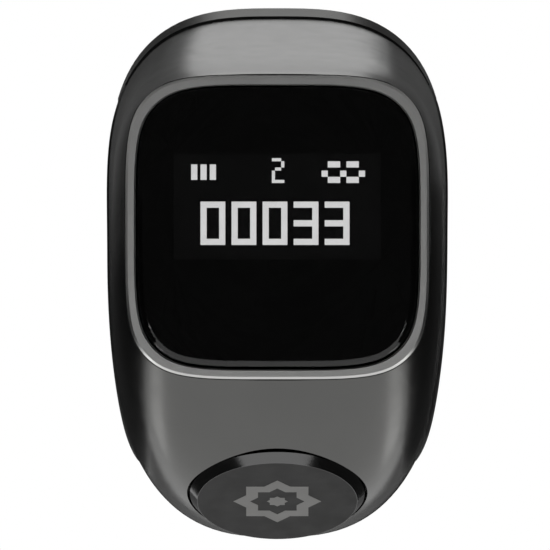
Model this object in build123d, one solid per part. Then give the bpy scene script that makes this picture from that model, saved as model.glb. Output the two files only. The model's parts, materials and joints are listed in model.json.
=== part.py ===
from build123d import *
import os
from math import acos, atan2, cos, pi, radians, sin, sqrt, tan

# Electronic counting ring for a finger, in millimetres, +Z up.
# The finger goes through along X and the display looks along -Y.
# The origin is the middle of the finger bore.

# Finger bore and its sleeve; cutters run past the surface by cut_over
bore_r = 10.0
bore_land = 8.0
bore_flare = 0.35
sleeve_wall = 1.1
sleeve_gap = 0.1
cut_over = 5.0

# Walls outside the bore
end_wall = 4.85
band_wall = 2.2
band_half_w = 4.6
shell_wall = 0.95
shell_front_wall = 1.4

# Shape of the body: where it is widest, and how square its outlines are
widest_z = 2.0
top_n = 3.05
bottom_n = 2.7
band_n = 2.4
face_top_n = 3.5
face_bottom_n = 3.1
top_lean = 0.92
band_root = 0.5
outline_points = 36
arch_points = 15
head_sections = 5
band_sections = 7

# Parting line between ring body and front shell
rim_top = 0.5
rim_side = 0.0
rim_bottom = 0.04
rim_slope = 30.0
seal_edge = 0.09
seal_t = 0.15
part_margin = 0.85
hook_w = 2.2
hook_t = 0.6
hook_reach = 0.9
hook_bite = 0.3
hook_x = 3.5
hook_gap = 0.08

# Window, from the front inward
window_z = 2.54
window_n = 4.6
side_margin = 1.27
face_land = 0.08
bezel_proud = 0.35
bezel_w = 0.52
bezel_chamfer = 0.13
bezel_inner_chamfer = 0.05
bezel_gap = 0.05
lens_proud = 0.1
lens_t = 1.0
lens_edge_r = 0.45
lens_gap = 0.04
tape_t = 0.1
ledge_t = 0.3
ledge_w = 0.62
shell_ledge_w = 0.335

# Display module
active_w = 11.18
active_h = 5.58
display_z = 3.67
display_margin = 0.15
oled_w = 14.5
oled_h = 11.6
oled_top_margin = 1.25
oled_glass_t = 0.55
oled_cap_t = 0.6
oled_ledge_h = 2.8
oled_gap = 0.05
oled_clear = 0.07
driver_w = 9.0
driver_h = 1.0
driver_t = 0.3
driver_drop = 0.7
flex_t = 0.12
oled_flex_w = 6.0
flex_foot = 0.6
flex_notch_gap = 0.3
carrier_gap = 0.1
carrier_floor = 0.4
carrier_rim = 0.55
pocket_gap = 0.05

# Main board and what is soldered to it
board_t = 0.6
board_inset = 0.315
board_top_margin = 1.1
board_corner_r = 1.5
chip_room = 0.9
part_edge = 0.73
controller_w = 4.0
controller_t = 0.75
controller_edge = 1.93
controller_tab_gap = 0.25
charger_w = 2.0
charger_t = 0.6
charger_rise = 0.9
crystal_w = 2.0
crystal_h = 1.6
crystal_t = 0.5
crystal_rise = 3.3
antenna_w = 3.2
antenna_h = 1.2
antenna_t = 0.8
antenna_top_edge = 0.28
antenna_screw_gap = 0.8
passive_w = 1.0
passive_h = 0.5
passive_t = 0.45
passive_pitch = 1.1
passive_drop = 5.0
passive_left_count = 6
passive_right_count = 3
screw_head_r = 0.8
screw_head_t = 0.4
screw_shaft_r = 0.4
screw_bite = 0.7
screw_side_edge = 0.93
screw_top_edge = 0.85
screw_bottom_side_edge = 1.33
screw_bottom_edge = 0.93

# Vibration motor on its pad
motor_r = 3.5
motor_t = 1.7
motor_z = 1.0
motor_pad_t = 0.1
motor_seat_t = 0.3
motor_seat_r = 3.0

# Battery curved around the sleeve
battery_t = 2.0
battery_length = 8.0
battery_half_w = 4.5
battery_pad_t = 0.2
battery_pad_margin = 1.0
battery_clear = 0.3
tab_t = 0.12
tab_w = 0.8
tab_x = 0.15
tab_pitch = 1.0
tab_foot = 1.2

# Charging contacts through the sleeve, below the motor
contact_r = 0.75
contact_x = 2.5
contact_angle = -24.0
contact_out = 1.1
contact_recess = 0.05
spring_w = 1.2
spring_t = 0.15
spring_foot = 1.4
spring_foot_z = -3.1

# Push button, tilted down towards the thumb
button_tilt = 61.0
button_r = 5.03
button_gap = 0.16
button_proud = 0.62
button_chamfer_w = 0.4
button_chamfer_h = 0.48
button_travel = 0.3
button_skin = 0.9
button_skirt = 0.75
face_margin = 0.02
face_t = 0.25
lip_w = 0.5
lip_t = 0.5
button_seal_t = 0.3
spot_gap = 0.15
seat_depth = 1.0
post_r = 1.2
post_gap = 0.2

# Tact switch under the button
switch_w = 3.6
switch_h = 3.0
switch_t = 1.0
switch_wall = 0.3
switch_floor = 0.3
cover_t = 0.15
cover_clear = 0.35
plunger_r = 0.8
plunger_flange_r = 1.1
plunger_flange_t = 0.2
plunger_gap = 0.06
dome_r = 1.2
dome_gap = 0.02
dome_t = 0.08
bracket_w = 5.2
bracket_h = 4.6
bracket_t = 0.4
saddle_w = 4.4
saddle_h = 3.6
switch_flex_w = 3.0
switch_flex_tail = 1.4
switch_flex_run = 2.9

# Places that follow from the sizes above
sleeve_r = bore_r + sleeve_wall
half_h = bore_r + end_wall
back_y = bore_r + band_wall
oled_top = display_z + active_h / 2 + oled_top_margin
oled_bottom = oled_top - oled_h
oled_reach = max(oled_top - window_z, window_z - oled_bottom)
aperture_half = (
    (oled_w / 2 + oled_clear) ** window_n + (oled_reach + oled_clear) ** window_n
) ** (1 / window_n)
bezel_half = aperture_half + shell_ledge_w
lens_seat_half = bezel_half - bezel_w
lens_half = lens_seat_half - lens_gap
carrier_half = aperture_half - carrier_gap
half_w = bezel_half + side_margin
face_half = bezel_half + face_land
cut_w = 2 * half_w + cut_over

# Depths of the display stack, built forward from the sleeve
motor_seat_y = -sleeve_r - motor_seat_t
motor_back_y = motor_seat_y - motor_pad_t
motor_y = motor_back_y - motor_t
board_back_y = motor_y - chip_room
board_y = board_back_y - board_t
carrier_back_y = board_y
oled_back_y = carrier_back_y - carrier_floor
oled_cap_y = oled_back_y - oled_cap_t
oled_y = oled_cap_y - oled_glass_t
bezel_back_y = oled_y - oled_gap
tape_back_y = bezel_back_y - ledge_t
lens_back_y = tape_back_y - tape_t
lens_face_y = lens_back_y - lens_t
bezel_face_y = lens_face_y + lens_proud
front_y = bezel_face_y + bezel_proud

# Side profile of the lower shell: an arc that meets the face just below the bezel
profile_r = half_h - rim_bottom
face_bottom = window_z - face_half
profile_y = front_y + sqrt(profile_r**2 - face_bottom**2)

# Button frame: its z points out of the button, its y points up the slope
tilt = radians(button_tilt)
button_chord = sqrt(profile_r**2 - button_r**2)
button_y = profile_y - button_chord * cos(tilt)
button_z = -button_chord * sin(tilt)
button_plane = Plane(
    origin=(0, button_y, button_z), x_dir=(1, 0, 0), z_dir=(0, -cos(tilt), -sin(tilt))
)
lip_r = button_r + lip_w
lip_top = -seat_depth - button_seal_t
lip_bottom = lip_top - lip_t

# The parting plane lies just behind the lower edge of the pressed button
lip_end_y = button_y + (button_travel - lip_bottom) * cos(tilt) + lip_r * sin(tilt)
part_y = lip_end_y + part_margin

# Shell outline at the parting plane
seal_half_w = half_w - rim_side
seal_top = half_h - rim_top
shell_half_w = seal_half_w - seal_edge
shell_top = seal_top - seal_edge


def superellipse_reach(angle, n):
    """Distance from the centre of a unit superellipse to its edge."""
    return (abs(cos(angle)) ** n + abs(sin(angle)) ** n) ** (-1 / n)


def egg_wire(y, half, top, bottom, middle, n_top, n_bottom):
    """Closed outline at one depth: two half superellipses that meet at the widest height."""
    points = []
    for i in range(outline_points):
        angle = 2 * pi * i / outline_points
        upper = sin(angle) >= 0
        reach = superellipse_reach(angle, n_top if upper else n_bottom)
        rise = top - middle if upper else middle - bottom
        points.append((half * reach * cos(angle), y, middle + rise * reach * sin(angle)))
    return Wire([Edge.make_spline(points, periodic=True)])


def egg_prism(wire, length):
    """Outline carried straight back along Y."""
    return Solid.extrude(Face(wire), Vector(0, length, 0))


def squircle_prism(half, y_front, y_back):
    """Prism of the window's outline between two depths."""
    wire = egg_wire(y_front, half, window_z + half, window_z - half, window_z, window_n, window_n)
    return egg_prism(wire, y_back - y_front)


def head_solid(inset, front_wall):
    """Front half of the pebble, or its hollow when it is inset by the walls."""
    wires = []
    depth = part_y - front_y - front_wall
    for i in range(head_sections):
        turn = pi / 2 * i / (head_sections - 1)
        reach = sin(turn)
        top_rise = (1 - top_lean) * cos(turn) + top_lean * (1 - reach)
        y = part_y - depth * reach
        half = face_half + (shell_half_w - face_half) * cos(turn) - inset
        top = window_z + face_half + (shell_top - window_z - face_half) * top_rise - inset
        bottom = -sqrt((profile_r - inset) ** 2 - (y - profile_y) ** 2)
        middle = widest_z + (window_z - widest_z) * reach
        n_top = top_n + (face_top_n - top_n) * reach
        n_bottom = bottom_n + (face_bottom_n - bottom_n) * reach
        wires.append(egg_wire(y, half, top, bottom, middle, n_top, n_bottom))
    return Solid.make_loft(wires)


def band_solid():
    """Back half of the pebble: arched sections that swing round from the top to the bottom."""
    wires = []
    pivot_r = bore_r - band_root
    for i in range(band_sections):
        turn = pi * i / (band_sections - 1)
        to_back = sin(turn) ** 2
        crown = 1 / sqrt((cos(turn) / half_h) ** 2 + (sin(turn) / (back_y - part_y)) ** 2)
        middle = widest_z * cos(turn) + (bore_r - part_y - band_root) * to_back
        half = half_w + (band_half_w - half_w) * to_back
        n_end = top_n if turn < pi / 2 else bottom_n
        n = band_n + (n_end - band_n) * cos(turn) ** 2
        along = part_y * sin(turn)
        base = max(middle, sqrt(along**2 + pivot_r**2 - part_y**2) - along)
        base_rise = (base - middle) / (crown - middle)
        start = atan2(base_rise, (1 - base_rise**n) ** (1 / n))
        points = []
        for j in range(arch_points):
            angle = start + (pi - 2 * start) * j / (arch_points - 1)
            reach = superellipse_reach(angle, n)
            height = middle + (crown - middle) * reach * sin(angle)
            points.append(
                (half * reach * cos(angle), part_y + height * sin(turn), height * cos(turn))
            )
        arch = Edge.make_spline(points)
        wires.append(Wire([arch, Edge.make_line(points[-1], points[0])]))
    return Solid.make_loft(wires)


def rim_bevel():
    """What is cut from the band so that its rim slopes up from the seal."""
    depth = 2 * rim_top / tan(radians(rim_slope))
    seal_edge_wire = egg_wire(part_y, seal_half_w, seal_top, -profile_r, widest_z, top_n, bottom_n)
    wide_wire = egg_wire(
        part_y + depth,
        half_w + rim_side,
        half_h + rim_top,
        -half_h - rim_bottom,
        widest_z,
        top_n,
        bottom_n,
    )
    around = Pos(0, part_y + depth / 2, 0) * Box(cut_w, depth, 2 * half_h + cut_over)
    return around - Solid.make_loft([seal_edge_wire, wide_wire], True)


def along_x(radius, length):
    """Cylinder on the finger axis."""
    return Cylinder(radius, length, rotation=(0, 90, 0))


def along_y(radius, x, z, y_front, y_back):
    """Cylinder along the depth between two depths."""
    plane = Plane(origin=(x, y_front, z), z_dir=(0, 1, 0))
    return Solid.make_cylinder(radius, y_back - y_front, plane)


def block(x, z, y_front, size):
    """Block whose size is width, height and depth, with its front at one depth."""
    width, height, depth = size
    return Pos(x, y_front + depth / 2, z) * Box(width, depth, height)


def polar(radius, angle):
    """Point at a radius from the finger axis and an angle above the front."""
    return Vector(0, -radius * cos(angle), radius * sin(angle))


def ring_sector(r_in, r_out, start, end, half):
    """Curved slab around the sleeve between two angles above the front."""
    face = Face(
        Wire(
            [
                Edge.make_three_point_arc(*[polar(r_out, a) for a in (start, (start + end) / 2, end)]),
                Edge.make_line(polar(r_out, end), polar(r_in, end)),
                Edge.make_three_point_arc(*[polar(r_in, a) for a in (end, (start + end) / 2, start)]),
                Edge.make_line(polar(r_in, start), polar(r_out, start)),
            ]
        )
    )
    return Pos(-half, 0, 0) * Solid.extrude(face, Vector(2 * half, 0, 0))


def bent_strip(points, thickness, width, x):
    """Flat strip of one width folded along points in the Y-Z plane."""
    strip = None
    for a, b in zip(points, points[1:]):
        run = b - a
        plane = Plane(origin=(a + b) / 2, x_dir=run.normalized(), z_dir=(1, 0, 0))
        leg = plane * Box(run.length, thickness, width)
        strip = leg if strip is None else strip + leg
    for a in points[1:-1]:
        strip += Plane(origin=a, z_dir=(1, 0, 0)) * Cylinder(thickness / 2, width)
    return Pos(x, 0, 0) * strip


def on_button(solid, z=0.0, y=0.0):
    """Solid placed in the button's frame."""
    return button_plane * Pos(0, y, z) * solid


def disc(radius, top, bottom):
    """Disc on the button axis between two heights above the shell."""
    return on_button(Cylinder(radius, top - bottom), (top + bottom) / 2)


def on_slope(up, height):
    """Point in the Y-Z plane given in the button's frame."""
    return button_plane.from_local_coords(Vector(0, up, height))


pieces = {}

# Hooks that hold the front shell to the ring body
hooks = []
for x in (-hook_x, hook_x):
    for upper in (True, False):
        n = top_n if upper else bottom_n
        drop = (1 - (hook_x / shell_half_w) ** n) ** (1 / n)
        if upper:
            inner = widest_z + (shell_top - widest_z) * drop - shell_wall
            z = inner + hook_bite - hook_t / 2
        else:
            inner = widest_z - (widest_z + profile_r) * drop + shell_wall
            z = inner - hook_bite + hook_t / 2
        hooks.append((x, z))


def hook_blocks(gap):
    """The four hooks, or the pockets that take them when a gap is given."""
    solids = []
    for x, z in hooks:
        size = (hook_w + 2 * gap, hook_t + 2 * gap, 2 * hook_reach + gap)
        solids.append(block(x, z, part_y - hook_reach, size))
    return solids


# Ring body: sleeve, band and the seats for motor and switch
head = head_solid(0, 0)
sleeve = head & along_x(sleeve_r, 2 * half_w)
motor_seat = along_y(motor_seat_r, 0, motor_z, motor_seat_y, -bore_r)
switch_bottom = lip_bottom - post_gap - cover_clear - cover_t - switch_t
flex_bottom = switch_bottom - flex_t
bracket_bottom = flex_bottom - bracket_t
saddle_depth = button_plane.origin.length - bore_r
saddle = on_button(
    Box(saddle_w, saddle_h, saddle_depth + bracket_bottom),
    (bracket_bottom - saddle_depth) / 2,
)
flare_end = half_w + bore_flare
flare_edge = TangentArc(
    (bore_land / 2, bore_r), (flare_end, bore_r + bore_flare), tangent=(1, 0)
)
flare_rest = Polyline(
    (flare_end, bore_r + bore_flare), (flare_end, 0), (bore_land / 2, 0), (bore_land / 2, bore_r)
)
flare = revolve(make_face(flare_edge + flare_rest), Axis.X)
ring_cuts = [along_x(bore_r, cut_w), flare, mirror(flare, Plane.YZ)]
ring_cuts += hook_blocks(hook_gap)
contact_turn = radians(contact_angle)
contact_pins = []
for x in (-contact_x, contact_x):
    axis_out = polar(1, contact_turn)
    start = polar(bore_r + contact_recess, contact_turn) + Vector(x, 0, 0)
    pin_plane = Plane(origin=start, z_dir=axis_out)
    pin = Solid.make_cylinder(contact_r, sleeve_wall + contact_out - contact_recess, pin_plane)
    hole_plane = Plane(origin=start - axis_out, z_dir=axis_out)
    ring_cuts.append(Solid.make_cylinder(contact_r, sleeve_wall + contact_out, hole_plane))
    contact_pins.append(pin)
band = band_solid() - rim_bevel()
pieces["ring_body"] = band + [sleeve, motor_seat, saddle] - ring_cuts

# Front shell: the hollow head with its window and button openings
hollow = head_solid(shell_wall, shell_front_wall)
shell = head - hollow
shell -= along_x(sleeve_r + sleeve_gap, cut_w)
shell -= squircle_prism(bezel_half + bezel_gap, front_y - cut_over, bezel_back_y)
shell -= squircle_prism(aperture_half, bezel_back_y, board_back_y)
shell -= disc(button_r, cut_over, -seat_depth - cut_over)
shell -= disc(lip_r + spot_gap, -seat_depth, lip_bottom - button_travel - spot_gap)
shell -= block(0, 0, part_y - seal_t, (cut_w, 2 * half_h + cut_over, cut_over))
pieces["front_shell"] = shell + hook_blocks(0)

# Case seal between them: flat at the parting plane, and curved along the sleeve at the sides
seal_wire = egg_wire(
    part_y - seal_t, seal_half_w, seal_top, -profile_r, widest_z, top_n, bottom_n
)
seal_hole = egg_wire(
    part_y - seal_t,
    shell_half_w - shell_wall,
    shell_top - shell_wall,
    shell_wall - profile_r,
    widest_z,
    top_n,
    bottom_n,
)
seal_cuts = [egg_prism(seal_hole, seal_t), along_x(sleeve_r + sleeve_gap, cut_w)]
flat_seal = egg_prism(seal_wire, seal_t) - seal_cuts - hook_blocks(hook_gap)
side_seal = head_solid(-seal_edge, 0) & along_x(sleeve_r + sleeve_gap, cut_w)
side_seal = side_seal - along_x(sleeve_r, cut_w) - hollow
pieces["case_seal"] = flat_seal + side_seal

# Window: bezel, glass and the black tape behind it
bezel = squircle_prism(bezel_half, bezel_face_y, bezel_back_y)
rim_edge = bezel.faces().sort_by(Axis.Y)[0].edges()
bezel = chamfer(rim_edge, bezel_chamfer)
bezel -= squircle_prism(lens_seat_half, bezel_face_y, tape_back_y)
bezel -= squircle_prism(lens_seat_half - ledge_w, tape_back_y, bezel_back_y)
inner_edge = bezel.faces().sort_by(Axis.Y)[0].inner_wires()[0].edges()
pieces["window_bezel"] = chamfer(inner_edge, bezel_inner_chamfer)
lens = squircle_prism(lens_half, lens_face_y, lens_back_y)
pieces["display_window"] = fillet(lens.faces().sort_by(Axis.Y)[0].edges(), lens_edge_r)
tape = squircle_prism(lens_half, lens_back_y, tape_back_y)
opening = (active_w + 2 * display_margin, active_h + 2 * display_margin, tape_t)
pieces["window_tape"] = tape - block(0, display_z, lens_back_y, opening)

# Display module
oled_z = (oled_top + oled_bottom) / 2
pieces["oled_panel"] = block(0, oled_z, oled_y, (oled_w, oled_h, oled_glass_t))
cap_h = oled_h - oled_ledge_h
pieces["oled_cap_glass"] = block(0, oled_top - cap_h / 2, oled_cap_y, (oled_w, cap_h, oled_cap_t))
driver_z = oled_top - cap_h - driver_drop
pieces["oled_driver_chip"] = block(0, driver_z, oled_cap_y, (driver_w, driver_h, driver_t))
oled_flex_y = oled_cap_y + flex_t / 2
flex_end_z = window_z - carrier_half
pieces["oled_flex"] = bent_strip(
    [
        Vector(0, oled_flex_y, oled_bottom + flex_foot),
        Vector(0, oled_flex_y, oled_bottom),
        Vector(0, board_y - flex_t / 2, flex_end_z + flex_foot),
        Vector(0, board_y - flex_t / 2, flex_end_z),
    ],
    flex_t,
    oled_flex_w,
    0,
)
carrier = squircle_prism(carrier_half, oled_back_y - carrier_rim, carrier_back_y)
pocket_size = (oled_w + 2 * pocket_gap, oled_h + 2 * pocket_gap, carrier_rim)
carrier -= block(0, oled_z, oled_back_y - carrier_rim, pocket_size)
notch_w = oled_flex_w + 2 * flex_notch_gap
notch_h = oled_bottom - flex_end_z + flex_notch_gap
notch_size = (notch_w, 2 * notch_h, carrier_rim + carrier_floor)
carrier -= block(0, flex_end_z, oled_back_y - carrier_rim, notch_size)

# Main board
board_half_w = oled_w / 2 - board_inset
board_top = window_z + carrier_half - board_top_margin
board_bottom = window_z - carrier_half
board_z = (board_top + board_bottom) / 2
board = block(0, board_z, board_y, (2 * board_half_w, board_top - board_bottom, board_t))
board = fillet(board.edges().filter_by(Axis.Y), board_corner_r)
screws = []
screw_x = board_half_w - screw_side_edge
screw_bottom_x = board_half_w - screw_bottom_side_edge
for x, z in (
    (-screw_x, board_top - screw_top_edge),
    (screw_x, board_top - screw_top_edge),
    (-screw_bottom_x, board_bottom + screw_bottom_edge),
    (screw_bottom_x, board_bottom + screw_bottom_edge),
):
    shaft = along_y(screw_shaft_r, x, z, board_y - screw_bite, board_back_y)
    board -= shaft
    carrier -= shaft
    screws.append(shaft + along_y(screw_head_r, x, z, board_back_y, board_back_y + screw_head_t))
pieces["display_carrier"] = carrier
pieces["main_board"] = board
pieces["board_screws"] = Compound(children=screws)


def on_board(x, z, width, height, thickness):
    """Component soldered to the back of the board."""
    return block(x, z, board_back_y, (width, height, thickness))


battery_r = sleeve_r + battery_pad_t
battery_end = acos((seal_t + battery_clear - part_y) / battery_r)
battery_start = battery_end - battery_length / (battery_r + battery_t / 2)
tab_start = polar(battery_r + battery_t / 2, battery_start)
tab_end_z = tab_start.Z - tab_foot
pieces["controller_chip"] = on_board(
    controller_edge + controller_w / 2 - board_half_w,
    tab_end_z - controller_tab_gap - controller_w / 2,
    controller_w,
    controller_w,
    controller_t,
)
parts_x = board_half_w - part_edge
pieces["charger_chip"] = on_board(
    parts_x - charger_w / 2, window_z + charger_rise, charger_w, charger_w, charger_t
)
pieces["crystal"] = on_board(
    parts_x - crystal_w / 2, window_z + crystal_rise, crystal_w, crystal_h, crystal_t
)
pieces["chip_antenna"] = on_board(
    screw_x - screw_head_r - antenna_screw_gap - antenna_w / 2,
    board_top - antenna_top_edge - antenna_h / 2,
    antenna_w,
    antenna_h,
    antenna_t,
)
passives = []
passive_x = parts_x - passive_w / 2
for x, count in ((-passive_x, passive_left_count), (passive_x, passive_right_count)):
    for i in range(count):
        z = window_z - passive_drop + i * passive_pitch
        passives.append(on_board(x, z, passive_w, passive_h, passive_t))
pieces["small_components"] = Compound(children=passives)

# Vibration motor
pieces["vibration_motor"] = along_y(motor_r, 0, motor_z, motor_y, motor_back_y)
pieces["motor_pad"] = along_y(motor_seat_r, 0, motor_z, motor_back_y, motor_seat_y)

# Battery around the sleeve, in front of the parting plane
pieces["battery_cell"] = ring_sector(
    battery_r, battery_r + battery_t, battery_start, battery_end, battery_half_w
)
pad_cut = battery_pad_margin / battery_r
pieces["battery_pad"] = ring_sector(
    sleeve_r,
    battery_r,
    battery_start + pad_cut,
    battery_end - pad_cut,
    battery_half_w - battery_pad_margin,
)
tab_y = board_back_y + tab_t / 2
tabs = []
for x in (tab_x - tab_pitch / 2, tab_x + tab_pitch / 2):
    route = [
        tab_start,
        Vector(0, tab_y, tab_start.Z),
        Vector(0, tab_y, tab_end_z),
    ]
    tabs.append(bent_strip(route, tab_t, tab_w, x) - pieces["battery_cell"])
pieces["battery_tabs"] = Compound(children=tabs)

# Charging contacts and their springs
pieces["charging_contacts"] = Compound(children=contact_pins)
pin_end = polar(sleeve_r + contact_out + spring_t / 2, contact_turn)
pin_side = Vector(0, -sin(contact_turn), -cos(contact_turn)) * contact_r
springs = []
for x in (-contact_x, contact_x):
    route = [
        Vector(0, board_back_y + spring_t / 2, spring_foot_z),
        Vector(0, board_back_y + spring_t / 2, spring_foot_z - spring_foot),
        pin_end + pin_side,
        pin_end - pin_side,
    ]
    springs.append(bent_strip(route, spring_t, spring_w, x))
pieces["contact_springs"] = Compound(children=springs)

# Push button
cap_r = button_r - button_gap
face_r = cap_r - button_chamfer_w
cap_edge = button_proud - button_chamfer_h
crown_cone = on_button(Cone(cap_r, face_r, button_chamfer_h), cap_edge + button_chamfer_h / 2)
cap = crown_cone + disc(cap_r, cap_edge, lip_bottom) + disc(lip_r, lip_top, lip_bottom)
cap -= disc(cap_r - button_skirt, button_proud - face_t - button_skin, lip_bottom)
cap += disc(post_r, 0, lip_bottom - post_gap)
inlay_r = face_r - face_margin
cap -= disc(inlay_r, button_proud, button_proud - face_t)
pieces["button_cap"] = cap
pieces["button_face"] = disc(inlay_r, button_proud, button_proud - face_t)
pieces["button_seal"] = disc(lip_r, -seat_depth, lip_top) - disc(button_r, -seat_depth, lip_top)

# Tact switch on its bracket
post_end = lip_bottom - post_gap
cover_top = post_end - cover_clear
body_top = cover_top - cover_t
cavity_floor = switch_bottom + switch_floor
switch_body = on_button(Box(switch_w, switch_h, switch_t), (body_top + switch_bottom) / 2)
cavity_size = (switch_w - 2 * switch_wall, switch_h - 2 * switch_wall, body_top - cavity_floor)
switch_body -= on_button(Box(*cavity_size), (body_top + cavity_floor) / 2)
pieces["switch_body"] = switch_body
cover = on_button(Box(switch_w, switch_h, cover_t), (cover_top + body_top) / 2)
pieces["switch_cover"] = cover - disc(plunger_r + plunger_gap, cover_top, body_top)
plunger = disc(plunger_r, post_end, body_top - plunger_flange_t)
plunger += disc(plunger_flange_r, body_top, body_top - plunger_flange_t)
pieces["switch_plunger"] = plunger
dome_rise = body_top - plunger_flange_t - dome_gap - cavity_floor
dome_ball_r = (dome_r**2 + dome_rise**2) / (2 * dome_rise)
ball_z = cavity_floor + dome_rise - dome_ball_r
dome = on_button(Sphere(dome_ball_r), ball_z) - on_button(Sphere(dome_ball_r - dome_t), ball_z)
pieces["switch_dome"] = dome & disc(dome_r, cavity_floor + dome_rise, cavity_floor)
pieces["switch_bracket"] = on_button(
    Box(bracket_w, bracket_h, bracket_t), (flex_bottom + bracket_bottom) / 2
)
flex_mid = (switch_bottom + flex_bottom) / 2
board_end_z = window_z - carrier_half + flex_foot
pieces["switch_flex"] = bent_strip(
    [
        on_slope(-switch_flex_tail, flex_mid),
        on_slope(switch_flex_run, flex_mid),
        Vector(0, board_back_y + flex_t / 2, board_end_z),
        Vector(0, board_back_y + flex_t / 2, board_end_z + flex_foot),
    ],
    flex_t,
    switch_flex_w,
    0,
)

os.makedirs("parts", exist_ok=True)
for name, shape in pieces.items():
    shape.label = name
    export_step(shape, f"parts/{name}.step")
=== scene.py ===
import json
import math

import bmesh
import bpy
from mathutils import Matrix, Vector


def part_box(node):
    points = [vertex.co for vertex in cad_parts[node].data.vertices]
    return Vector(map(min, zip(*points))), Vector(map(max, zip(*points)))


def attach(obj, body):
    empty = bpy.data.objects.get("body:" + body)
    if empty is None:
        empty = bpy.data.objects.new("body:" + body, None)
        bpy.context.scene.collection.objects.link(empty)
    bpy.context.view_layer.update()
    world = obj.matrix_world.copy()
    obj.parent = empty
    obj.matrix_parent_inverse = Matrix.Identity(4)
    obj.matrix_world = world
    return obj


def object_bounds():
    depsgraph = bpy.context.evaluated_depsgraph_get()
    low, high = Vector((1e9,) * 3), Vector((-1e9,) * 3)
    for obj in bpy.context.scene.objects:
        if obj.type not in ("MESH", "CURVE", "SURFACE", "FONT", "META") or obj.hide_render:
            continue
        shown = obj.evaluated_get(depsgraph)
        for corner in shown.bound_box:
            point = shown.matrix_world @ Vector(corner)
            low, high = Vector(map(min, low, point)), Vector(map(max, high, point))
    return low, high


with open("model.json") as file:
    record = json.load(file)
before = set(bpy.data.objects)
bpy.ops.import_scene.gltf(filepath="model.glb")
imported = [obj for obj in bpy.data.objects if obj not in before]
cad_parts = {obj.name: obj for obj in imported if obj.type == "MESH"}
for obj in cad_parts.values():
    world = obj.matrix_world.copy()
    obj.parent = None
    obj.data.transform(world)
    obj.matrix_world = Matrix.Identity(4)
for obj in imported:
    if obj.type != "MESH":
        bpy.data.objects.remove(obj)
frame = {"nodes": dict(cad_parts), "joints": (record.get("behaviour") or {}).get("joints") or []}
cad_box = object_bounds()
nodes = frame["nodes"]
scene = bpy.context.scene
MM = 0.001
WHITE = (1, 1, 1, 1)
SIDES = (-1, 1)

# Photograph's frame: the view is square on and almost without perspective
image_px = 550
px_per_mm = 17.83
object_middle_px = (277.25, 272.4)
lens_mm = 1500.0
sensor_mm = 36.0
outline_y = -2 * MM
camera_rise = 3.4 * MM

# Studio around the finger bore: a pale floor, white surroundings
floor_drop = 86 * MM
floor_half = 900 * MM
floor_lift = 0.42
ambient = 0.45

# Cards that only reflections see. The side walls, left and right, have a low and a high tier
low_wall_x = {-1: 134 * MM, 1: 124 * MM}
high_wall_x = {-1: 127 * MM, 1: 120 * MM}
low_wall_front = -300 * MM
high_wall_front = -12 * MM
wall_back = {-1: 2000 * MM, 1: 700 * MM}
wall_back_top = {-1: 500 * MM, 1: 700 * MM}
wall_middle = {-1: 4 * MM, 1: 12 * MM}
wall_top = {-1: 700 * MM, 1: 520 * MM}
back_wall_y = 700 * MM
back_wall_top = 200 * MM
cover_front = 160 * MM
cover_lift = 2 * MM
flag_r = 400 * MM
flag_steps = 24
flag_side = 84.0
flag_low = -6.5
flag_high = 100.0

# Lamps: two boxes, placed by azimuth from the front and elevation, and a strip on each side of the floor
box_distance = 600 * MM
back_box_way = (180, 52)
back_box_size = (500 * MM, 300 * MM)
back_box_watts = 0.4
front_box_way = (0, -16)
front_box_size = (600 * MM, 160 * MM)
front_box_watts = 0.45
strip_x = {-1: 94 * MM, 1: 88 * MM}
strip_w = 30 * MM
strip_front = -75 * MM
strip_back = 70 * MM
strip_lift = 2 * MM
strip_watts = 0.0138

# Display grid
grid_columns = 64
grid_rows = 32
active_w = 11.02 * MM
active_h = 5.5 * MM
display_x = 0.045 * MM
display_z = 3.62 * MM
dot_lift = 0.012 * MM

# Lit blocks of the top row, in dots: column, row, width and height
level_bars = [(4 + 3 * bar, 2, 2, 5) for bar in range(3)]
numeral_two = [(30, 0, 3, 1), (33, 1, 1, 2), (31, 3, 2, 1), (30, 4, 1, 3), (30, 7, 4, 1)]
bead_links = [(48 + 6 * link, row, 4, 2) for link in range(2) for row in (1, 6)]
beads = [(46 + 6 * bead, 4, 2, 2) for bead in range(3)]

# Count below them, in dots: digits of straight strokes, named round from the top with g across the middle
count = "00033"
strokes = {"0": "abcdef", "3": "abgcd"}
digit_column = 7
digit_row = 14
digit_pitch = 10
digit_w = 8
digit_h = 14
stroke = 2

# Ornament on the button: sizes as parts of the star's radius
star_r = 2.45 * MM
star_band = 0.62
star_core = 0.24
star_points = 8
star_notch = math.cos(math.pi / 4) / math.cos(math.pi / 8)
mark_lift = 0.012 * MM

# Noise of the materials: scale and detail
colour_drift = (250, 3)
gloss_drift = (900, 4)
glass_drift = (600, 3)
dot_drift = (1500, 2)
grain_detail = 2
grain_depth = 0.25
ramp_start = 0.3
ramp_end = 0.7

# Glass, lit dots and button paint
glass_tint = 0.3
glass_ior = 1.5
glass_roughness = (0.012, 0.03)
dot_grey = 0.6
dot_roughness = 0.5
dot_dimmest = 0.93
dot_glow = 2.2
paint_specular = 0.3

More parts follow.
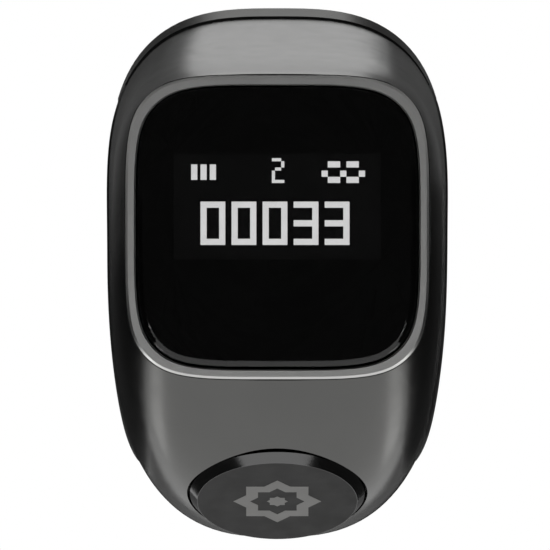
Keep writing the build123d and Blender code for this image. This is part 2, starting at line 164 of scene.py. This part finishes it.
# Other finishes: colour, its spread, roughness, its spread, grain in mm, bump, metallic
finishes = {
    "satin_gunmetal": ((0.114, 0.114, 0.111), 0.03, 0.24, 0.02, 0.12, 0.04, 1.0),
    "ring_gunmetal": ((0.072, 0.072, 0.07), 0.03, 0.26, 0.02, 0.12, 0.04, 1.0),
    "bezel_metal": ((0.58, 0.58, 0.57), 0.03, 0.36, 0.02, 0.08, 0.04, 1.0),
    "button_chamfer_metal": ((0.12, 0.12, 0.12), 0.03, 0.1, 0.02, 0.1, 0.03, 1.0),
    "button_matte": ((0.0105, 0.0105, 0.0101), 0.06, 0.6, 0.05, 0.06, 0.12, 0.0),
    "mark_grey": ((0.23, 0.228, 0.22), 0.04, 0.5, 0.05, 0.06, 0.08, 0.0),
    "black_rubber": ((0.004, 0.004, 0.004), 0.2, 0.75, 0.08, 0.1, 0.2, 0.0),
    "black_film": ((0.003, 0.003, 0.003), 0.15, 0.6, 0.05, 0.1, 0.05, 0.0),
    "panel_glass": ((0.006, 0.006, 0.0065), 0.1, 0.35, 0.03, 0.2, 0.02, 0.0),
    "black_plastic": ((0.02, 0.02, 0.02), 0.15, 0.5, 0.06, 0.12, 0.2, 0.0),
    "board_laminate": ((0.02, 0.12, 0.06), 0.12, 0.35, 0.05, 0.3, 0.15, 0.0),
    "bright_steel": ((0.55, 0.55, 0.56), 0.05, 0.3, 0.06, 0.1, 0.1, 1.0),
    "nickel": ((0.62, 0.6, 0.56), 0.05, 0.32, 0.06, 0.1, 0.1, 1.0),
    "gold_plate": ((0.83, 0.6, 0.22), 0.05, 0.25, 0.05, 0.1, 0.08, 1.0),
    "battery_foil": ((0.6, 0.6, 0.62), 0.06, 0.4, 0.06, 0.4, 0.3, 1.0),
    "chip_resin": ((0.025, 0.025, 0.026), 0.2, 0.55, 0.08, 0.06, 0.3, 0.0),
    "white_ceramic": ((0.75, 0.74, 0.7), 0.06, 0.5, 0.06, 0.1, 0.1, 0.0),
    "brown_ceramic": ((0.32, 0.22, 0.13), 0.12, 0.5, 0.06, 0.1, 0.15, 0.0),
    "flex_film": ((0.5, 0.27, 0.06), 0.1, 0.35, 0.05, 0.3, 0.1, 0.0),
    "foam_tape": ((0.1, 0.1, 0.1), 0.2, 0.85, 0.08, 0.08, 0.5, 0.0),
    "white_nylon": ((0.78, 0.78, 0.74), 0.05, 0.4, 0.05, 0.1, 0.1, 0.0),
    "pale_floor": ((0.8, 0.8, 0.8), 0.01, 0.8, 0.05, 20, 0.02, 0.0),
    "card_black": ((0.03, 0.03, 0.03), 0.1, 0.9, 0.05, 20, 0.02, 0.0),
    "card_grey": ((0.27, 0.27, 0.27), 0.05, 0.9, 0.05, 20, 0.02, 0.0),
    "flag_dark": ((0.1, 0.1, 0.1), 0.1, 0.9, 0.05, 20, 0.02, 0.0),
}

# Finish of each node
node_finishes = {
    "ring_body": "ring_gunmetal",
    "front_shell": "satin_gunmetal",
    "case_seal": "black_rubber",
    "window_bezel": "bezel_metal",
    "display_window": "smoked_glass",
    "window_tape": "black_film",
    "oled_panel": "panel_glass",
    "oled_cap_glass": "panel_glass",
    "oled_driver_chip": "chip_resin",
    "oled_flex": "flex_film",
    "display_carrier": "black_plastic",
    "main_board": "board_laminate",
    "board_screws": "bright_steel",
    "controller_chip": "chip_resin",
    "charger_chip": "chip_resin",
    "crystal": "bright_steel",
    "chip_antenna": "white_ceramic",
    "small_components": "brown_ceramic",
    "vibration_motor": "bright_steel",
    "motor_pad": "foam_tape",
    "battery_cell": "battery_foil",
    "battery_pad": "foam_tape",
    "battery_tabs": "nickel",
    "charging_contacts": "gold_plate",
    "contact_springs": "gold_plate",
    "button_cap": "button_chamfer_metal",
    "button_face": "button_matte",
    "button_seal": "black_rubber",
    "switch_body": "black_plastic",
    "switch_cover": "bright_steel",
    "switch_plunger": "white_nylon",
    "switch_dome": "bright_steel",
    "switch_bracket": "bright_steel",
    "switch_flex": "flex_film",
}


def add_object(name, mesh, material):
    """Mesh as a scene object with one material."""
    obj = bpy.data.objects.new(name, mesh)
    scene.collection.objects.link(obj)
    obj.data.materials.append(material)
    return obj


def thicken(obj, depth):
    """Sheet made into a thin solid, from its outer face inward."""
    layer = obj.modifiers.new("thickness", "SOLIDIFY")
    layer.thickness = depth
    layer.offset = -1


# Materials
def grey(level):
    """Colour of one level."""
    return (level, level, level)


def new_material(name):
    """Empty node material with its tree, its surface shader and the coordinates of the piece."""
    material = bpy.data.materials.new(name)
    material.use_nodes = True
    tree = material.node_tree
    shader = tree.nodes["Principled BSDF"]
    place = tree.nodes.new("ShaderNodeTexCoord")
    return material, tree, shader, place


def noise(tree, place, scale, detail):
    """Noise texture that stays fixed on the piece."""
    texture = tree.nodes.new("ShaderNodeTexNoise")
    texture.inputs["Scale"].default_value = scale
    texture.inputs["Detail"].default_value = detail
    tree.links.new(place.outputs["Object"], texture.inputs["Vector"])
    return texture.outputs["Fac"]


def ramp(tree, value, low, high):
    """Value spread between two colours or two greys."""
    node = tree.nodes.new("ShaderNodeValToRGB")
    start, end = node.color_ramp.elements
    start.position = ramp_start
    end.position = ramp_end
    start.color = (*low, 1)
    end.color = (*high, 1)
    tree.links.new(value, node.inputs["Fac"])
    return node.outputs["Color"]


def finish_surface(name, colour, spread, roughness, rough_spread, grain_mm, bump, metallic):
    """Material with slight colour drift, uneven gloss and a fine grain."""
    material, tree, shader, place = new_material(name)
    shader.inputs["Metallic"].default_value = metallic
    drift = noise(tree, place, *colour_drift)
    low = tuple(c * (1 - spread) for c in colour)
    high = tuple(min(1, c * (1 + spread)) for c in colour)
    tree.links.new(ramp(tree, drift, low, high), shader.inputs["Base Color"])
    gloss = noise(tree, place, *gloss_drift)
    rough = ramp(tree, gloss, grey(roughness - rough_spread), grey(roughness + rough_spread))
    tree.links.new(rough, shader.inputs["Roughness"])
    grain_size = grain_mm * MM
    grain = noise(tree, place, 1 / grain_size, grain_detail)
    bumps = tree.nodes.new("ShaderNodeBump")
    bumps.inputs["Strength"].default_value = bump
    bumps.inputs["Distance"].default_value = grain_size * grain_depth
    tree.links.new(grain, bumps.inputs["Height"])
    tree.links.new(bumps.outputs["Normal"], shader.inputs["Normal"])
    return material


def smoked_glass():
    """Clear window with a dark tint."""
    material, tree, shader, place = new_material("smoked_glass")
    shader.inputs["Base Color"].default_value = (*grey(glass_tint), 1)
    shader.inputs["Transmission Weight"].default_value = 1.0
    shader.inputs["IOR"].default_value = glass_ior
    gloss = noise(tree, place, *glass_drift)
    smoothest, roughest = glass_roughness
    tree.links.new(ramp(tree, gloss, grey(smoothest), grey(roughest)), shader.inputs["Roughness"])
    return material


def glowing_dots():
    """Lit display dots, a little uneven."""
    material, tree, shader, place = new_material("lit_dots")
    shader.inputs["Base Color"].default_value = (*grey(dot_grey), 1)
    shader.inputs["Roughness"].default_value = dot_roughness
    drift = noise(tree, place, *dot_drift)
    glow = ramp(tree, drift, grey(dot_dimmest), grey(1))
    tree.links.new(glow, shader.inputs["Emission Color"])
    shader.inputs["Emission Strength"].default_value = dot_glow
    return material


materials = {name: finish_surface(name, *values) for name, values in finishes.items()}
paint_shader = materials["button_matte"].node_tree.nodes["Principled BSDF"]
paint_shader.inputs["Specular IOR Level"].default_value = paint_specular
materials["smoked_glass"] = smoked_glass()
materials["lit_dots"] = glowing_dots()
for name, finish in node_finishes.items():
    slots = nodes[name].data.materials
    slots.clear()
    slots.append(materials[finish])


# Lit dots on the display panel
def digit_blocks(digit, column):
    """Blocks of dots of a digit made of straight strokes."""
    middle = (digit_h - stroke) // 2
    right = digit_w - stroke
    places = {
        "a": (0, 0, digit_w, stroke),
        "b": (right, 0, stroke, middle + stroke),
        "c": (right, middle, stroke, digit_h - middle),
        "d": (0, digit_h - stroke, digit_w, stroke),
        "e": (0, middle, stroke, digit_h - middle),
        "f": (0, 0, stroke, middle + stroke),
        "g": (0, middle, digit_w, stroke),
    }
    blocks = []
    for key in strokes[digit]:
        x, y, width, height = places[key]
        blocks.append((column + x, digit_row + y, width, height))
    return blocks


def block_cells(column, row, width, height):
    """Grid cells of a filled rectangle."""
    return [(column + i, row + j) for i in range(width) for j in range(height)]


lit_blocks = level_bars + numeral_two + bead_links + beads
for place, digit in enumerate(count):
    lit_blocks += digit_blocks(digit, digit_column + digit_pitch * place)
cells = set()
for block in lit_blocks:
    cells.update(block_cells(*block))

pitch_x = active_w / grid_columns
pitch_z = active_h / grid_rows
panel_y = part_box("oled_panel")[0].y - dot_lift
dots = bmesh.new()
corners = {}


def grid_corner(column, row):
    """Shared corner of the dot grid."""
    if (column, row) not in corners:
        x = display_x - active_w / 2 + column * pitch_x
        z = display_z + active_h / 2 - row * pitch_z
        corners[(column, row)] = dots.verts.new((x, panel_y, z))
    return corners[(column, row)]


for column, row in sorted(cells):
    ring = ((column, row + 1), (column + 1, row + 1), (column + 1, row), (column, row))
    dots.faces.new([grid_corner(*c) for c in ring])
dot_mesh = bpy.data.meshes.new("display_dots")
dots.to_mesh(dot_mesh)
dots.free()
display_dots = add_object("display_dots", dot_mesh, materials["lit_dots"])
thicken(display_dots, dot_lift)
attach(display_dots, "case")

# Eight-pointed star on the button
press = Vector(frame["joints"][0]["axis"]).normalized()
outward = -press
across = Vector((1, 0, 0))
upslope = outward.cross(across)
face_corners = [v.co for v in nodes["button_face"].data.vertices]
face_height = max(c.dot(outward) for c in face_corners)
low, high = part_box("button_face")
face_middle = (low + high) / 2
face_middle += outward * (face_height + mark_lift - face_middle.dot(outward))


def star_corner(radius, step):
    """Corner of the star: points at full radius, notches between them."""
    reach = radius if step % 2 == 0 else radius * star_notch
    angle = math.pi * step / star_points + math.pi / 2
    return face_middle + across * (reach * math.cos(angle)) + upslope * (reach * math.sin(angle))


star = bmesh.new()
steps = range(2 * star_points)
outer, inner, core = (
    [star.verts.new(star_corner(star_r * part, i)) for i in steps]
    for part in (1, star_band, star_core)
)
for i in steps:
    j = (i + 1) % len(outer)
    star.faces.new([outer[i], outer[j], inner[j], inner[i]])
star.faces.new(core)
star_mesh = bpy.data.meshes.new("button_star")
star.to_mesh(star_mesh)
star.free()
button_star = add_object("button_star", star_mesh, materials["mark_grey"])
thicken(button_star, mark_lift)
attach(button_star, "button")


# White surroundings and a pale floor
def show_white(tree, plain, white, output, ray_names):
    """Plain shader for the light it gives, and white where the named rays see it."""
    rays = tree.nodes.new("ShaderNodeLightPath")
    seen = rays.outputs[ray_names[0]]
    for name in ray_names[1:]:
        most = tree.nodes.new("ShaderNodeMath")
        most.operation = "MAXIMUM"
        tree.links.new(seen, most.inputs[0])
        tree.links.new(rays.outputs[name], most.inputs[1])
        seen = most.outputs[0]
    mix = tree.nodes.new("ShaderNodeMixShader")
    tree.links.new(seen, mix.inputs["Fac"])
    tree.links.new(plain, mix.inputs[1])
    tree.links.new(white, mix.inputs[2])
    tree.links.new(mix.outputs["Shader"], output.inputs["Surface"])


def white_surroundings():
    """World that looks white and gives a softer light."""
    world = bpy.data.worlds.new("studio")
    scene.world = world
    world.use_nodes = True
    tree = world.node_tree
    dim = tree.nodes["Background"]
    dim.inputs["Color"].default_value = WHITE
    dim.inputs["Strength"].default_value = ambient
    white = tree.nodes.new("ShaderNodeBackground")
    white.inputs["Color"].default_value = WHITE
    white.inputs["Strength"].default_value = 1.0
    ray_names = ("Is Camera Ray", "Is Glossy Ray", "Is Transmission Ray")
    output = tree.nodes["World Output"]
    show_white(tree, dim.outputs["Background"], white.outputs["Background"], output, ray_names)


def lift_floor(material):
    """Floor that looks paler and keeps its shadow, and that metal and glass see as white."""
    tree = material.node_tree
    shader = tree.nodes["Principled BSDF"]
    shader.inputs["Emission Color"].default_value = WHITE
    rays = tree.nodes.new("ShaderNodeLightPath")
    lift = tree.nodes.new("ShaderNodeMath")
    lift.operation = "MULTIPLY"
    lift.inputs[1].default_value = floor_lift
    tree.links.new(rays.outputs["Is Camera Ray"], lift.inputs[0])
    tree.links.new(lift.outputs[0], shader.inputs["Emission Strength"])
    white = tree.nodes.new("ShaderNodeEmission")
    white.inputs["Color"].default_value = WHITE
    ray_names = ("Is Glossy Ray", "Is Transmission Ray")
    output = tree.nodes["Material Output"]
    show_white(tree, shader.outputs["BSDF"], white.outputs["Emission"], output, ray_names)


def sheet_mesh(name, points):
    """Flat mesh of one face."""
    mesh = bpy.data.meshes.new(name)
    mesh.from_pydata(points, [], [list(range(len(points)))])
    return mesh


def level_points(left, right, front, back, z):
    """Corners of a level rectangle."""
    return [(left, front, z), (right, front, z), (right, back, z), (left, back, z)]


white_surroundings()
lift_floor(materials["pale_floor"])
floor_z = cad_box[0][2] - floor_drop
floor_points = level_points(-floor_half, floor_half, -floor_half, floor_half, floor_z)
floor = add_object("floor", sheet_mesh("floor", floor_points), materials["pale_floor"])


# Dark and grey cards
def unseen_card(name, mesh, finish):
    """Card that takes away reflections and that the camera looks through."""
    card = add_object(name, mesh, materials[finish])
    card.visible_camera = False
    card.visible_shadow = False
    card.visible_diffuse = False


def side_wall(name, x, front, back, heights, finish):
    """Upright card beside the object: back and heights are given for its bottom and its top."""
    points = [
        (x, front, heights[0]),
        (x, back[0], heights[0]),
        (x, back[1], heights[1]),
        (x, front, heights[1]),
    ]
    unseen_card(name, sheet_mesh(name, points), finish)


def toward(azimuth, elevation, distance):
    """Point in a direction from the bore: azimuth from the front, elevation from level."""
    az = math.radians(azimuth)
    el = math.radians(elevation)
    flat = distance * math.cos(el)
    return Vector((flat * math.sin(az), -flat * math.cos(az), distance * math.sin(el)))


def front_flag():
    """Dark patch of a sphere in front of and above the object."""
    points = []
    faces = []
    for i in range(flag_steps + 1):
        azimuth = flag_side * (2 * i / flag_steps - 1)
        for j in range(flag_steps + 1):
            elevation = flag_low + (flag_high - flag_low) * j / flag_steps
            points.append(toward(azimuth, elevation, flag_r))
    row = flag_steps + 1
    for i in range(flag_steps):
        for j in range(flag_steps):
            a = i * row + j
            faces.append((a, a + row, a + row + 1, a + 1))
    mesh = bpy.data.meshes.new("front_flag")
    mesh.from_pydata(points, [], faces)
    unseen_card("front_flag", mesh, "flag_dark")


for side in SIDES:
    back = wall_back[side]
    middle = wall_middle[side]
    low_x = side * low_wall_x[side]
    side_wall(f"wall_low_{side}", low_x, low_wall_front, (back, back), (floor_z, middle), "card_black")
    high_x = side * high_wall_x[side]
    high_back = (back, wall_back_top[side])
    high_heights = (middle, wall_top[side])
    side_wall(f"wall_high_{side}", high_x, high_wall_front, high_back, high_heights, "card_grey")
left = -high_wall_x[-1]
right = high_wall_x[1]
back_points = [
    (left, back_wall_y, floor_z),
    (right, back_wall_y, floor_z),
    (right, back_wall_y, back_wall_top),
    (left, back_wall_y, back_wall_top),
]
unseen_card("back_wall", sheet_mesh("back_wall", back_points), "card_black")
cover_points = level_points(left, right, cover_front, back_wall_y, floor_z + cover_lift)
unseen_card("floor_cover", sheet_mesh("floor_cover", cover_points), "card_grey")
front_flag()


# Lamps
def softbox(name, place, size, watts, aim):
    """Rectangular lamp that faces a point and that the camera looks through."""
    lamp = bpy.data.lights.new(name, "AREA")
    lamp.shape = "RECTANGLE"
    lamp.size, lamp.size_y = size
    lamp.energy = watts
    obj = bpy.data.objects.new(name, lamp)
    obj.location = place
    obj.rotation_euler = (aim - place).to_track_quat("-Z", "Y").to_euler()
    obj.visible_camera = False
    scene.collection.objects.link(obj)


bore = Vector((0, 0, 0))
up = Vector((0, 0, 1))
softbox("back_box", toward(*back_box_way, box_distance), back_box_size, back_box_watts, bore)
softbox("front_box", toward(*front_box_way, box_distance), front_box_size, front_box_watts, bore)
strip_size = (strip_w, strip_back - strip_front)
strip_y = (strip_front + strip_back) / 2
for side in SIDES:
    place = Vector((side * strip_x[side], strip_y, floor_z + strip_lift))
    softbox(f"strip_{side}", place, strip_size, strip_watts, place + up)

# Camera
middle_x, middle_y = object_middle_px
camera_data = bpy.data.cameras.new("camera")
camera_data.lens = lens_mm
camera_data.sensor_width = sensor_mm
camera = bpy.data.objects.new("camera", camera_data)
distance = image_px / px_per_mm * lens_mm / sensor_mm * MM
shift_x = (image_px / 2 - middle_x) / px_per_mm * MM
shift_z = (middle_y - image_px / 2) / px_per_mm * MM
camera.location = (shift_x, outline_y - distance, shift_z + camera_rise)
camera.rotation_euler = (math.pi / 2 - math.atan(camera_rise / distance), 0, 0)
scene.collection.objects.link(camera)
scene.camera = camera

scene.view_settings.view_transform = "Standard"
